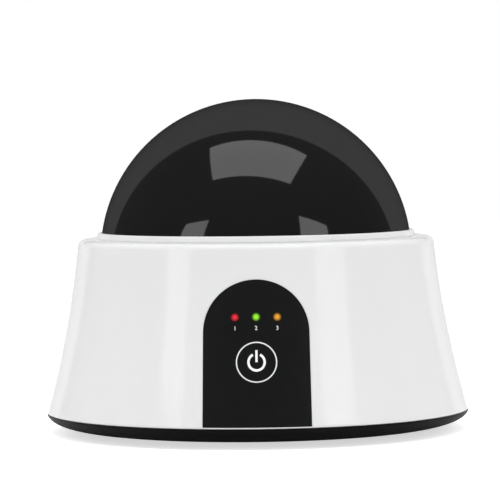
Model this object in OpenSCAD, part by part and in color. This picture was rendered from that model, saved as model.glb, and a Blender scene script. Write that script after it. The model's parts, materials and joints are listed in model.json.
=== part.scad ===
// Table-top steamer that loosens gel nail polish. A white flared shell stands on a black pan and
// carries a control panel at the front (-Y), five finger holes at the back (+Y) and a lift-off dome.
// Millimetres. Origin on the table under the middle of the machine, +Z up.

/* [Dome and lid ring] */
// Diameter of the dome where it meets its ring
dome_d = 153.6; // [144:0.2:160]
// Height of the dome above its ring
dome_h = 65.7; // [58:0.1:70]
// Wall of the dome
dome_wall = 2.5; // [2:0.1:3.2]
// Width of the ring that shows outside the dome, at its foot
ring_w = 2.8; // [2.8:0.1:6]
// How much narrower the ring is at its top, on each side
ring_lean = 0.6; // [0:0.1:1.6]
// Height of the ring above the shell
ring_h = 3.2; // [2.4:0.1:5]
// Thickness of the ledge that the dome stands on
ledge_t = 1.5; // [1:0.1:1.8]
// How far the mouth of the shell lies inside the dome's rim
mouth_step = 2.4; // [1.2:0.1:2.4]
// Depth of the skirt that centres the lid in the mouth
skirt_h = 5; // [3:0.5:8]
// Wall of the skirt
skirt_t = 2; // [1.2:0.1:3]
// Height of the shadow line under the ring's outer edge
shadow_gap = 0.3; // [0.2:0.1:1]

/* [Shell] */
// Width of the shelf between the ring and the shoulder
shelf_w = 9.3; // [8:0.1:16]
// How far the side flares out, from shoulder to foot
flare = 16.8; // [10:0.1:24]
// How far the side bows in from a straight cone
side_bow = 1.8; // [0:0.1:3]
// Height of the shell
shell_h = 86.4; // [80:0.2:110]
// Wall of the shell
shell_wall = 2.4; // [2:0.1:3]
// Radius of the shoulder
shoulder_r = 3.6; // [3.4:0.1:6]
// Radius of the foot's outer edge
edge_r = 1; // [0.4:0.1:1.5]

/* [Base pan and feet] */
// Height of the pan, up to the seam with the shell
pan_h = 8; // [7:0.1:14]
// Wall of the pan
pan_wall = 2.2; // [1.8:0.1:3]
// Width of the pan's rolled edge
pan_roll = 23; // [14:0.5:28]
// Height of the tongue that fits inside the shell
tongue_h = 3.6; // [2:0.1:4.5]
// Thickness of the tongue
tongue_t = 1.8; // [1.2:0.1:2.5]
// Number of stiffening ribs on the pan's floor
rib_count = 8; // [4:4:12]
// Height of the ribs
rib_h = 4; // [2:0.5:6]
// Thickness of the ribs
rib_t = 1.6; // [1.2:0.1:2.4]
// Diameter of a rubber foot
pad_d = 16; // [12:0.5:20]
// How far a rubber foot stands out of the pan
pad_h = 2; // [1.5:0.1:4]
// Depth of the recess that a foot is glued in
pad_recess = 0.8; // [0.4:0.1:1]
// Distance of the feet from the middle
pad_ring_r = 62; // [56:1:68]
// Number of ventilation slots in the pan
vent_count = 12; // [8:1:14]
// Length of a ventilation slot
vent_l = 16; // [10:1:20]
// Width of a ventilation slot
vent_w = 3; // [2:0.5:4]

/* [Control panel] */
// Width of the arched panel
panel_w = 50.4; // [46:0.2:56]
// Height of the panel
panel_h = 68.9; // [64:0.1:72]
// How much wider the panel is at its foot, on each side
panel_flare = 0.6; // [0:0.1:1.2]
// White strip left under the panel
panel_strip = 0.8; // [0.8:0.1:3]
// Depth of the panel's recess
panel_t = 1.2; // [0.8:0.1:1.4]
// How far the panel stands proud
panel_proud = 0.2; // [0:0.1:0.5]
// Height of the power button's centre above the seam
button_up = 31; // [28:0.1:34]
// Outer diameter of the light ring round the button
light_ring_d = 19.8; // [16:0.2:22]
// Width of the light ring
light_ring_w = 0.9; // [0.8:0.1:1.5]
// How far the button stands proud
button_proud = 0.5; // [0.3:0.1:1]
// Travel of the button
button_travel = 0.5; // [0.2:0.1:0.6]
// Distance from the button's centre up to the lamps
lamp_up = 21.5; // [18:0.1:24]
// Spacing of the lamps
lamp_pitch = 10; // [8:0.1:11]
// Diameter of a lamp
lamp_d = 3; // [2.4:0.1:4]
// How far a lamp stands proud of the panel
lamp_proud = 0.3; // [0:0.1:0.6]

/* [Steam chamber] */
// Wall of the chamber bowl
bowl_wall = 2; // [1.5:0.1:2.5]
// Depth of the bowl below the flat top
bowl_depth = 46.7; // [45:0.1:50]
// Width of the bowl's flange
bowl_flange = 5; // [4:0.5:6]
// Diameter of a finger hole
finger_d = 19; // [16:0.5:20]
// Spacing of the finger holes
finger_pitch = 22.6; // [22:0.1:24]
// Depth of the middle finger hole's centre below the flat top
finger_down = 19.7; // [19.4:0.1:21]
// How far the outer finger holes hang below the middle one
finger_arc = 3; // [0:0.1:3.5]
// Margin round the finger holes
guard_margin = 2.6; // [2:0.1:3]
// Thickness of the finger guard
guard_t = 3; // [2:0.1:3.5]
// Width of the guard's lip
guard_lip = 2.4; // [1.5:0.1:2.6]
// Thickness of the guard's lip
guard_lip_t = 0.9; // [0.6:0.1:1.5]

/* [Finger rest] */
// Clearance between the finger rest and the lid's skirt
rest_clear = 2.1; // [1:0.1:4]
// Thickness of the finger rest
rest_t = 2.5; // [2:0.1:3]
// Height of the rest's pegs
peg_h = 8; // [6:0.5:8.5]
// Diameter of a peg
peg_d = 6; // [4:0.5:8]
// Diameter of a steam hole in the rest
steam_hole_d = 5; // [3:0.5:6]
// Spacing of the steam holes
steam_pitch = 10; // [9:0.5:14]

/* [Heating tray] */
// Inner diameter of the aluminium tray
tray_d = 88; // [76:1:90]
// Depth of the tray
tray_depth = 8.5; // [6:0.5:10]
// Wall of the tray
tray_wall = 2; // [1.5:0.1:2.6]
// Thickness of the tray's floor
tray_floor_t = 3.5; // [3:0.1:4]
// Width of the tray's flange
tray_flange = 6; // [4:0.5:7]
// Thickness of the tray's flange
tray_flange_t = 1.5; // [1:0.1:2]
// Thickness of the seal under the flange
seal_t = 1; // [0.6:0.1:1.5]
// Length of the heating element
heater_l = 40; // [34:1:46]
// Width of the heating element
heater_w = 30; // [24:1:36]
// Thickness of the heating element
heater_t = 5; // [4:0.5:7]
// Diameter of the thermostat
thermostat_d = 16; // [12:0.5:20]
// Height of the thermostat
thermostat_h = 8; // [6:0.5:10]

/* [Electronics and inlet] */
// Length of the main board
board_l = 84; // [80:1:88]
// Width of the main board
board_w = 58; // [56:1:62]
// Thickness of both boards
board_t = 1.6; // [1:0.2:2]
// Height of the posts under the main board
board_post_h = 8; // [7:0.5:12]
// Height of the power inlet's centre above the seam
inlet_up = 15; // [15:0.5:20]
// Diameter of the inlet's barrel
inlet_d = 11; // [9:0.5:11.5]
// Diameter of the plug that the inlet takes
plug_d = 5.5; // [4:0.1:6]

/* [Fits] */
// Gap between pieces that move past each other
run_gap = 0.3; // [0.2:0.05:0.5]
// Gap between pieces that are seated for good
seat_gap = 0.1; // [0.05:0.05:0.2]
// Gap between a screw's core and its pilot hole
pilot_gap = 0.05; // [0.02:0.01:0.1]
// Diameter of the case screws
screw_d = 3.5; // [2.5:0.1:4]
// Diameter of the small screws
small_screw_d = 2.2; // [1.8:0.1:2.6]

/* [Hidden] */
$fn = 96;

BLACK = [0.06, 0.06, 0.065];
SOFT_BLACK = [0.12, 0.12, 0.12];
WHITE = [0.93, 0.93, 0.93];
STEEL = [0.6, 0.6, 0.62];
ALUMINIUM = [0.75, 0.75, 0.77];
BOARD_GREEN = [0.1, 0.35, 0.2];
CREAM = [0.95, 0.95, 0.9];

// How finely the bowed side, a quarter arc, a small arc and the pan's roll are divided
SIDE_STEPS = 12;
ARC_STEPS = 8;
EDGE_STEPS = 4;
ROLL_STEPS = 14;
// Longer than the machine, for cuts that run right through it
FAR = 400;
// Overshoot of a cut past the face that it opens
OVER = 1;
// Break of a sharp edge
EDGE = 0.4;

// Heights
pan_z = pad_h;
seam_z = pan_z + pan_h;
top_z = seam_z + shell_h;
ring_top_z = top_z + ring_h;
dome_seat_z = top_z + ledge_t;

// Dome
dome_rim_r = dome_d / 2;
dome_r = (dome_rim_r ^ 2 + dome_h ^ 2) / (2 * dome_h);
dome_c = ring_top_z + dome_h - dome_r;

// Lid ring, and the mouth that it fits
ring_r = dome_rim_r + ring_w;
ring_bore_r = sqrt(dome_r ^ 2 - (dome_seat_z - dome_c) ^ 2) + seat_gap;
ring_foot_w = 2;
mouth_r = dome_rim_r - mouth_step;
skirt_r = mouth_r - run_gap;
skirt_in_r = skirt_r - skirt_t;
skirt_z = top_z - skirt_h;

// Shell side, from the shoulder down to the foot
shoulder_rad = ring_r + shelf_w;
foot_rad = shoulder_rad + flare;
top_lean = atan((flare - 4 * side_bow) / shell_h);
foot_lean = atan((flare + 4 * side_bow) / shell_h);
shoulder_z = top_z - shoulder_r * (1 - sin(top_lean));
foot_z = seam_z + edge_r * (1 + sin(foot_lean));
side_h = shoulder_z - foot_z;
flange_z = top_z - shell_wall;

// Share of the side that lies above height z
function side_u(z) = (shoulder_z - z) / side_h;
// Outer radius of the side at height z
function side_r(z) = shoulder_rad + flare * side_u(z) - 4 * side_bow * side_u(z) * (1 - side_u(z));
// Angle between the side and the vertical at height z
function side_lean(z) = atan((flare - 4 * side_bow * (1 - 2 * side_u(z))) / side_h);
// Points on the side from height z1 to z2, moved out by off
function side_points(z1, z2, off) =
    [for (i = [0:SIDE_STEPS]) let (z = z1 + (z2 - z1) * i / SIDE_STEPS) [side_r(z) + off, z]];
// Points of an arc round c, from angle a to angle b
function arc(c, r, a, b, n = ARC_STEPS) =
    [for (i = [0:n]) c + r * [cos(a + (b - a) * i / n), sin(a + (b - a) * i / n)]];
// Points of a quarter ellipse, w wide and h high, from its foot at radius r0 out to height z
function roll(r0, w, z, h) =
    [for (i = [0:ROLL_STEPS]) let (a = i * 90 / ROLL_STEPS) [r0 + w * sin(a), z - h * cos(a)]];

// Screws: a head is twice as wide as its thread
head_share = 0.7;
pilot_l = 6;
case_bite = 12;
clamp_bite = 2;

// Control panel, in the frame of the power button: +Z out of the panel, +Y up its slope
panel_z0 = seam_z + panel_strip;
panel_z1 = panel_z0 + panel_h;
button_z = seam_z + button_up;
light_ring_r = light_ring_d / 2;
lamp_r = lamp_d / 2;
ring_boss_h = 1;
boss_depth = shell_wall + ring_boss_h;
ring_flange_t = 0.8;
ring_flange_r = light_ring_r + 1.6;
button_r = light_ring_r - light_ring_w - run_gap / 2;
cap_wall = 1.6;
stem_r = 2;
button_flange_t = 0.8;
button_flange_w = 1.3;
button_flange_z = -boss_depth - ring_flange_t - run_gap;
button_back_z = button_flange_z - button_flange_t;
plunger_z = button_back_z - button_travel - 0.2;
plunger_l = 3.5;
plunger_r = 1.7;
switch_w = 6;
switch_h = 3.5;
switch_gap = 0.5;
button_board_z = plunger_z - button_travel - switch_gap - switch_h;
button_board_w = 40;
button_board_y0 = -13;
button_board_y1 = lamp_up + 5;
board_edge = 3.5;
post_x = button_board_w / 2 - board_edge;
post_ys = [button_board_y0 + board_edge, button_board_y1 - board_edge];
post_r = small_screw_d / 2 + 1.5;
chip_h = 1.5;
chip_w = 3;
plug_size = [12, 5, 4];
plug_wall = 1;

// Chamber bowl, and the ears that screw it to the shell
bowl_r = mouth_r + 0.6;
bowl_out_r = bowl_r + bowl_wall;
bowl_z = top_z - bowl_depth;
bowl_flange_t = 2;
ear_angles = [30, 150, 210, 270, 330];
ear_ring_r = bowl_out_r + 5;
ear_post_r = small_screw_d / 2 + 1.9;
ear_r = ear_post_r + 0.6;
ear_t = 2;
ear_z = flange_z - 9;

// Finger tunnel and guard
finger_z = top_z - finger_down;
finger_xs = [for (i = [-2:2]) i * finger_pitch];
function finger_drop(x) = finger_arc * (x / (2 * finger_pitch)) ^ 2;
tunnel_w = 4 * finger_pitch + finger_d + 2 * guard_margin;
tunnel_z0 = finger_z - finger_arc - finger_d / 2 - guard_margin / 2;
tunnel_z1 = finger_z + finger_d / 2 + guard_margin / 2;
tunnel_corner = 6;

// Heating tray and what is fixed under it
tray_in_r = tray_d / 2;
tray_out_r = tray_in_r + tray_wall;
tray_flange_r = tray_out_r + tray_flange;
tray_top_z = bowl_z + seal_t + tray_flange_t;
tray_floor_z = tray_top_z - tray_depth;
tray_z = tray_floor_z - tray_floor_t;
tray_cove = 1.5;
seal_edge = 0.5;
seal_clear = 1.2;
bracket_t = 1.2;
bracket_in_r = tray_in_r - 4;
bracket_boss_r = small_screw_d / 2 + 2.1;
bracket_ring_r = tray_out_r + bracket_boss_r + 1.2;
bracket_arm_r = bracket_boss_r + 0.6;
bracket_angles = [30, 150, 270];
clamp_t = 1;
clamp_w = 14;
clamp_ear = 8;
heater_z = tray_z - heater_t;
clamp_z = heater_z - clamp_t;
clamp_in_x = heater_l / 2 + seat_gap;
clamp_hole_x = clamp_in_x + clamp_ear / 2;
thermostat_flange = 2;
tab_size = [3, 0.8, 4];
fuse_r = 1.8;
fuse_l = 10;

// Finger rest
rest_z = bowl_z + peg_h;
rest_r = skirt_in_r - rest_clear;
peg_ring_r = rest_r - 6;
steam_rings = floor((peg_ring_r - peg_d / 2 - steam_hole_d / 2 - 2) / steam_pitch);

// Pan, its posts and the columns of the shell that they meet
pan_r = foot_rad - 0.3;
pan_flat_r = pan_r - pan_roll;
pan_floor_z = pan_z + pan_wall;
pan_floor_r = pan_flat_r - 1.5;
tongue_z = seam_z + tongue_h;
tongue_r = side_r(tongue_z) - shell_wall - run_gap;
tongue_in_r = tongue_r - tongue_t;
column_r = screw_d / 2 + 2.25;
pan_post_r = screw_d + 1.8;
column_ring_r = tongue_in_r - column_r - 3.4;
column_z = tongue_z + run_gap;
column_h = 30;
column_web = 2;
column_angles = [0, 180, 225, 315];
screw_seat_z = pan_z + head_share * screw_d + 2.6;
case_screw_l = column_z - screw_seat_z + case_bite;
vent_ring_r = 34;
vent_angles = [for (i = [0:vent_count - 1]) (i + 0.5) * 360 / vent_count];
rib_angles = [for (i = [0:rib_count - 1]) (i + 0.5) * 360 / rib_count];
rib_in_r = 72;

// Main board: its posts, and its parts as [x, y] and [length, width, height]
board_z = pan_floor_z + board_post_h;
board_top_z = board_z + board_t;
board_post_r = small_screw_d / 2 + 1.9;
board_post_x = board_l / 2 - 4;
board_post_y = board_w / 2 - 4;
capacitor_at = [[16 - board_l / 2, 12], [30 - board_l / 2, 12]];
capacitor_d = 10;
capacitor_h = 12;
transistor_at = [10, 8];
transistor_size = [10, 4.5, 14];
sink_at = [4, 12.5];
sink_size = [22, 9, 15];
sink_fins = 5;
sink_t = 2;
socket_at = [[-30, -24], [-12, -24], [6, -24]];
socket_size = [12, 6, 7];
buzzer_at = [board_l / 2 - 15, -10];
buzzer_d = 12;
buzzer_h = 8;
buzzer_hole_d = 2.4;

// Power inlet, along +Y
inlet_z = seam_z + inlet_up;
inlet_r = inlet_d / 2;
inlet_lip_r = inlet_r + 1.8;
inlet_lip_t = 1.5;
inlet_pocket_r = inlet_lip_r + 0.6;
inlet_boss_r = inlet_pocket_r + 2;
inlet_face_y = side_r(inlet_z + inlet_pocket_r) - inlet_lip_t - EDGE;
inlet_boss_t = 3;
inlet_back_y = inlet_face_y - inlet_boss_t;
inlet_l = 14;
inlet_nut_t = 2.5;
inlet_nut_w = 2.6;
inlet_bore_r = plug_d / 2 + 0.15;
inlet_bore_l = 9.5;
inlet_pin_r = 1;
inlet_tail = 2;

// ---- Shapes shared by several pieces ----

// The space inside the shell's outer side, moved out by off
module side_solid(off) {
    rotate_extrude()
        polygon(concat(
            [[0, seam_z], [side_r(seam_z) + off, seam_z]],
            side_points(foot_z, shoulder_z, off),
            [[side_r(top_z) + off, top_z], [0, top_z]]));
}

// Moves children into the frame of the power button
module on_panel() {
    translate([0, -side_r(button_z), button_z])
        rotate([90 - side_lean(button_z), 0, 0])
            children();
}

// Places children at each lamp
module at_lamps() {
    for (i = [-1:1])
        translate([i * lamp_pitch, lamp_up, 0])
            children();
}

// Places children at each post of the button board
module at_button_posts() {
    for (x = [-post_x, post_x], y = post_ys)
        translate([x, y, 0])
            children();
}

// Places children at each post of the main board
module at_board_posts() {
    for (x = [-board_post_x, board_post_x], y = [-board_post_y, board_post_y])
        translate([x, y, 0])
            children();
}

// Places children round the axis, at radius r
module around(angles, r) {
    for (a = angles)
        rotate(a)
            translate([r, 0, 0])
                children();
}

// Outline of the arched panel, grown by off, with the height along Y
module arch_2d(off) {
    r = panel_w / 2 + off;
    foot = r + panel_flare;
    spring_z = panel_z1 - panel_w / 2;
    translate([0, spring_z])
        circle(r);
    polygon([[-foot, panel_z0 - off], [foot, panel_z0 - off], [r, spring_z], [-r, spring_z]]);
}

// A flat shape drawn in X and Z, run from y1 to y2
module along_y(y1, y2) {
    translate([0, y2, 0])
        rotate([90, 0, 0])
            linear_extrude(y2 - y1)
                children();
}

// Section of the finger tunnel, grown by off
module tunnel_2d(off) {
    w = tunnel_w / 2 + off;
    z0 = tunnel_z0 - off;
    z1 = tunnel_z1 + off;
    r = tunnel_corner + off;
    translate([-w + r, z0])
        square([2 * (w - r), z1 - z0]);
    translate([-w, z0 + r])
        square([2 * w, z1 - z0 - 2 * r]);
    for (x = [-w + r, w - r], z = [z0 + r, z1 - r])
        translate([x, z])
            circle(r);
}

// Pan-head screw along +Z, its head's seat at the origin
module screw(d, l) {
    head_h = head_share * d;
    slot_l = 1.2 * d;
    slot_w = 0.24 * d;
    cylinder(d = d, h = l);
    difference() {
        translate([0, 0, -head_h])
            cylinder(d1 = 1.6 * d, d2 = 2 * d, h = head_h);
        for (a = [0, 90])
            rotate(a)
                translate([-slot_l / 2, -slot_w / 2, -head_h - OVER])
                    cube([slot_l, slot_w, OVER + head_h / 2]);
    }
}

// Hole that a screw of diameter d turns into, from the origin along +Z
module pilot(d, l) {
    translate([0, 0, -OVER])
        cylinder(d = d + 2 * pilot_gap, h = l + OVER);
}

// Hole that a screw of diameter d passes through, t thick from the origin along +Z
module clearance_hole(d, t) {
    translate([0, 0, -OVER])
        cylinder(d = d + 2 * run_gap, h = t + 2 * OVER);
}

// Box with a floor and four walls, open at the top
module open_box(size, wall) {
    difference() {
        cube(size);
        translate([wall, wall, wall])
            cube([size[0] - 2 * wall, size[1] - 2 * wall, size[2]]);
    }
}

// ---- Lid ----

module dome_cover() {
    color(BLACK)
        difference() {
            translate([0, 0, dome_c])
                sphere(dome_r);
            translate([0, 0, dome_c])
                sphere(dome_r - dome_wall);
            translate([0, 0, dome_seat_z - FAR / 2])
                cube(FAR, center = true);
        }
}

module dome_ring() {
    lead_in = 0.8;
    top_r = ring_r - ring_lean;
    shadow_r = ring_r - ring_foot_w + EDGE;
    color(WHITE)
        rotate_extrude()
            polygon([
                [skirt_in_r, skirt_z],
                [skirt_r - EDGE, skirt_z],
                [skirt_r, skirt_z + lead_in],
                [skirt_r, top_z],
                [ring_r - ring_foot_w, top_z],
                [shadow_r, top_z + shadow_gap],
                [ring_r - EDGE, top_z + shadow_gap],
                [ring_r, top_z + shadow_gap + EDGE],
                [top_r, ring_top_z - EDGE],
                [top_r - EDGE, ring_top_z],
                [ring_bore_r + EDGE / 2, ring_top_z],
                [ring_bore_r, ring_top_z - EDGE / 2],
                [ring_bore_r, dome_seat_z],
                [skirt_in_r, dome_seat_z],
            ]);
}

// ---- Shell ----

// Half section: foot, flared side, shoulder, flat top and mouth, then back down the inner wall
module shell_profile() {
    edge_c = [side_r(foot_z) - edge_r * cos(foot_lean), seam_z + edge_r];
    shoulder_c = [shoulder_rad - shoulder_r * cos(top_lean), top_z - shoulder_r];
    inner_r = shoulder_r - shell_wall + 0.6;
    inner_c = [side_r(shoulder_z) - shell_wall - inner_r, flange_z - inner_r];
    polygon(concat(
        [[side_r(foot_z) - shell_wall, seam_z]],
        arc(edge_c, edge_r, -90, foot_lean, EDGE_STEPS),
        side_points(foot_z, shoulder_z, 0),
        arc(shoulder_c, shoulder_r, top_lean, 90),
        [[mouth_r + EDGE, top_z], [mouth_r, top_z - EDGE], [mouth_r, flange_z]],
        arc(inner_c, inner_r, 90, 0, EDGE_STEPS),
        side_points(flange_z - inner_r - OVER, foot_z, -shell_wall)));
}

// Column that a case screw turns into, webbed to the shell's side
module shell_column() {
    cylinder(r = column_r, h = column_h);
    translate([0, -column_web / 2, 0])
        cube([FAR / 2, column_web, column_h]);
}

// Posts, columns and bosses that stand on the inside of the shell
module shell_posts() {
    around(column_angles, column_ring_r)
        translate([0, 0, column_z])
            shell_column();
    around(ear_angles, ear_ring_r)
        translate([0, 0, ear_z + ear_t])
            cylinder(r = ear_post_r, h = FAR);
    on_panel() {
        translate([0, 0, -boss_depth])
            cylinder(r = ring_flange_r + OVER, h = boss_depth - panel_t);
        at_button_posts()
            translate([0, 0, button_board_z])
                cylinder(r = post_r, h = -button_board_z - panel_t);
    }
    translate([0, inlet_back_y, inlet_z])
        rotate([-90, 0, 0])
            cylinder(r = inlet_boss_r, h = FAR);
}

// Recess, light ring and lamps of the control panel
module panel_cuts() {
    difference() {
        along_y(-FAR / 2, 0)
            arch_2d(0);
        side_solid(-panel_t);
    }
    on_panel() {
        translate([0, 0, -FAR / 4])
            cylinder(r = light_ring_r + seat_gap, h = FAR / 2);
        at_lamps()
            translate([0, 0, -boss_depth])
                cylinder(r = lamp_r + run_gap, h = FAR);
        at_button_posts()
            translate([0, 0, button_board_z])
                pilot(small_screw_d, pilot_l);
    }
}

module inlet_cuts() {
    translate([0, inlet_face_y, inlet_z])
        rotate([-90, 0, 0])
            cylinder(r = inlet_pocket_r, h = FAR);
    translate([0, inlet_back_y - OVER, inlet_z])
        rotate([-90, 0, 0])
            cylinder(r = inlet_r + seat_gap, h = FAR);
}

module body_shell() {
    color(WHITE)
        difference() {
            union() {
                rotate_extrude()
                    shell_profile();
                intersection() {
                    shell_posts();
                    side_solid(-shell_wall / 2);
                    translate([0, 0, seam_z])
                        cylinder(r = FAR, h = shell_h - shell_wall / 2);
                }
            }
            panel_cuts();
            inlet_cuts();
            along_y(0, FAR / 2)
                tunnel_2d(0);
            around(column_angles, column_ring_r)
                translate([0, 0, column_z])
                    pilot(screw_d, case_bite + OVER);
            around(ear_angles, ear_ring_r)
                translate([0, 0, ear_z + ear_t])
                    pilot(small_screw_d, pilot_l);
        }
}

// ---- Base pan and feet ----

// Half section: flat bottom, rolled edge, tongue, then back along the inner face
module pan_profile() {
    lead_in = 0.6;
    inner = roll(pan_floor_r, tongue_in_r - pan_floor_r, seam_z, pan_h - pan_wall);
    polygon(concat(
        [[0, pan_z]],
        roll(pan_flat_r, pan_roll, seam_z, pan_h),
        [[tongue_r, seam_z], [tongue_r, tongue_z - lead_in], [tongue_r - lead_in, tongue_z],
            [tongue_in_r, tongue_z]],
        [for (i = [ROLL_STEPS:-1:0]) inner[i]],
        [[0, pan_floor_z]]));
}

// The space that posts and ribs may fill: half way into the pan's wall, and open upwards
module pan_space() {
    mid_r = tongue_in_r + tongue_t / 2;
    rotate_extrude()
        polygon(concat(
            [[0, pan_z + pan_wall / 2]],
            roll(pan_flat_r, pan_roll - pan_wall / 2, seam_z, pan_h - pan_wall / 2),
            [[mid_r, seam_z], [mid_r, FAR], [0, FAR]]));
}

module pan_posts() {
    around(column_angles, column_ring_r)
        cylinder(r = pan_post_r, h = column_z);
    at_board_posts()
        cylinder(r = board_post_r, h = board_z);
    around(rib_angles, rib_in_r)
        translate([0, -rib_t / 2, 0])
            cube([FAR, rib_t, pan_floor_z + rib_h]);
}

module base_pan() {
    color(BLACK)
        difference() {
            union() {
                rotate_extrude()
                    pan_profile();
                intersection() {
                    pan_posts();
                    pan_space();
                }
            }
            around(column_angles, column_ring_r) {
                cylinder(r = screw_d + run_gap, h = screw_seat_z);
                clearance_hole(screw_d, FAR);
            }
            at_board_posts()
                translate([0, 0, board_z - pilot_l])
                    pilot(small_screw_d, FAR);
            around([45:90:315], pad_ring_r)
                translate([0, 0, pan_z - OVER])
                    cylinder(d = pad_d + 2 * seat_gap, h = pad_recess + OVER);
            around(vent_angles, vent_ring_r - vent_l)
                translate([0, -vent_w / 2, pan_z - OVER])
                    cube([vent_l, vent_w, pan_wall + 2 * OVER]);
        }
}

module rubber_feet() {
    edge = 0.6;
    color(SOFT_BLACK)
        around([45:90:315], pad_ring_r) {
            translate([0, 0, edge])
                cylinder(d = pad_d, h = pad_h + pad_recess - edge);
            cylinder(d1 = pad_d - 2 * edge, d2 = pad_d, h = edge);
        }
}

module case_screws() {
    color(STEEL)
        around(column_angles, column_ring_r)
            translate([0, 0, screw_seat_z])
                screw(screw_d, case_screw_l);
}

// ---- Control panel ----

module control_panel() {
    color(BLACK)
        difference() {
            intersection() {
                along_y(-FAR / 2, 0)
                    arch_2d(-seat_gap);
                side_solid(panel_proud);
            }
            side_solid(-panel_t);
            on_panel() {
                translate([0, 0, -FAR / 4])
                    cylinder(r = light_ring_r + seat_gap, h = FAR / 2);
                at_lamps()
                    translate([0, 0, -FAR / 4])
                        cylinder(r = lamp_r + seat_gap, h = FAR / 2);
            }
        }
}

module light_ring() {
    color(WHITE)
        intersection() {
            on_panel()
                difference() {
                    union() {
                        translate([0, 0, -boss_depth])
                            cylinder(r = light_ring_r, h = FAR / 4);
                        translate([0, 0, -boss_depth - ring_flange_t])
                            cylinder(r = ring_flange_r, h = ring_flange_t);
                    }
                    translate([0, 0, -FAR / 4])
                        cylinder(r = light_ring_r - light_ring_w, h = FAR);
                }
            side_solid(panel_proud);
        }
}

// Hollow cap with a flange behind the light ring and a stem that meets the switch
module power_button() {
    color(BLACK)
        intersection() {
            on_panel() {
                difference() {
                    union() {
                        translate([0, 0, button_flange_z])
                            cylinder(r = button_r, h = FAR / 4);
                        translate([0, 0, button_back_z])
                            cylinder(r = button_r + button_flange_w, h = button_flange_t);
                    }
                    translate([0, 0, button_back_z - OVER])
                        cylinder(r = button_r - cap_wall, h = OVER - button_back_z - cap_wall);
                }
                translate([0, 0, plunger_z])
                    cylinder(r = stem_r, h = -plunger_z - cap_wall / 2);
            }
            side_solid(button_proud);
        }
}

module switch_plunger() {
    color(SOFT_BLACK)
        on_panel()
            translate([0, 0, plunger_z - plunger_l])
                cylinder(r = plunger_r, h = plunger_l);
}

// Light pipe number i from the middle, from its chip on the board to the panel's face
module lamp(i, paint) {
    color(paint)
        intersection() {
            on_panel()
                translate([i * lamp_pitch, lamp_up, button_board_z + chip_h + run_gap])
                    cylinder(r = lamp_r, h = FAR / 4);
            side_solid(panel_proud + lamp_proud);
        }
}

module button_board() {
    color(BOARD_GREEN)
        on_panel()
            translate([0, 0, button_board_z - board_t])
                difference() {
                    translate([-button_board_w / 2, button_board_y0, 0])
                        cube([button_board_w, button_board_y1 - button_board_y0, board_t]);
                    at_button_posts()
                        clearance_hole(small_screw_d, board_t);
                }
}

module tact_switch() {
    color(SOFT_BLACK)
        on_panel()
            difference() {
                translate([-switch_w / 2, -switch_w / 2, button_board_z])
                    cube([switch_w, switch_w, switch_h]);
                translate([0, 0, plunger_z - plunger_l - button_travel - run_gap])
                    cylinder(r = plunger_r + run_gap / 2, h = FAR);
            }
}

module lamp_chips() {
    color(CREAM)
        on_panel()
            at_lamps()
                translate([-chip_w / 2, -chip_w / 2, button_board_z])
                    cube([chip_w, chip_w, chip_h]);
}

module board_connector() {
    color(CREAM)
        on_panel()
            translate([-plug_size[0] / 2, button_board_y0 + plug_wall, button_board_z])
                open_box(plug_size, plug_wall);
}

module button_board_screws() {
    color(STEEL)
        on_panel()
            at_button_posts()
                translate([0, 0, button_board_z - board_t])
                    screw(small_screw_d, board_t + pilot_l - OVER);
}

// ---- Steam chamber ----

module bowl_ears() {
    around(ear_angles, ear_ring_r)
        translate([0, 0, ear_z]) {
            cylinder(r = ear_r, h = ear_t);
            translate([bowl_r - ear_ring_r, -ear_r, 0])
                cube([ear_ring_r - bowl_r, 2 * ear_r, ear_t]);
        }
}

// Bowl with a flange under the shell's top, a tunnel to the finger opening and an open floor
module chamber_bowl() {
    color([0.8, 0.8, 0.81])
        difference() {
            intersection() {
                union() {
                    translate([0, 0, bowl_z - bowl_wall])
                        cylinder(r = bowl_out_r, h = FAR);
                    translate([0, 0, flange_z - bowl_flange_t])
                        cylinder(r = bowl_out_r + bowl_flange, h = FAR);
                    bowl_ears();
                    around(bracket_angles, bracket_ring_r)
                        translate([0, 0, tray_z])
                            cylinder(r = bracket_boss_r, h = bowl_z - tray_z);
                    along_y(0, FAR / 2)
                        tunnel_2d(bowl_wall);
                }
                side_solid(-shell_wall - run_gap);
                cylinder(r = FAR, h = flange_z);
            }
            translate([0, 0, bowl_z])
                cylinder(r = bowl_r, h = FAR);
            along_y(0, FAR / 2)
                tunnel_2d(0);
            cylinder(r = tray_out_r + run_gap, h = FAR);
            around(ear_angles, ear_ring_r)
                translate([0, 0, ear_z]) {
                    clearance_hole(small_screw_d, ear_t);
                    translate([0, 0, ear_t])
                        cylinder(r = ear_post_r + run_gap, h = FAR);
                }
            around(bracket_angles, bracket_ring_r)
                translate([0, 0, tray_z])
                    pilot(small_screw_d, pilot_l);
        }
}

module bowl_screws() {
    color(STEEL)
        around(ear_angles, ear_ring_r)
            translate([0, 0, ear_z])
                screw(small_screw_d, ear_t + pilot_l - OVER);
}

// Insert that follows the shell's side, with a lip round the opening and five finger holes
module finger_guard() {
    color(SOFT_BLACK)
        difference() {
            union() {
                intersection() {
                    along_y(0, FAR / 2)
                        tunnel_2d(-seat_gap);
                    side_solid(guard_lip_t);
                }
                intersection() {
                    along_y(0, FAR / 2)
                        tunnel_2d(guard_lip);
                    difference() {
                        side_solid(guard_lip_t);
                        side_solid(seat_gap / 2);
                    }
                }
            }
            side_solid(-guard_t);
            for (x = finger_xs)
                translate([x, 0, finger_z - finger_drop(x)])
                    rotate([-90, 0, 0])
                        cylinder(d = finger_d, h = FAR);
        }
}

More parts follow.
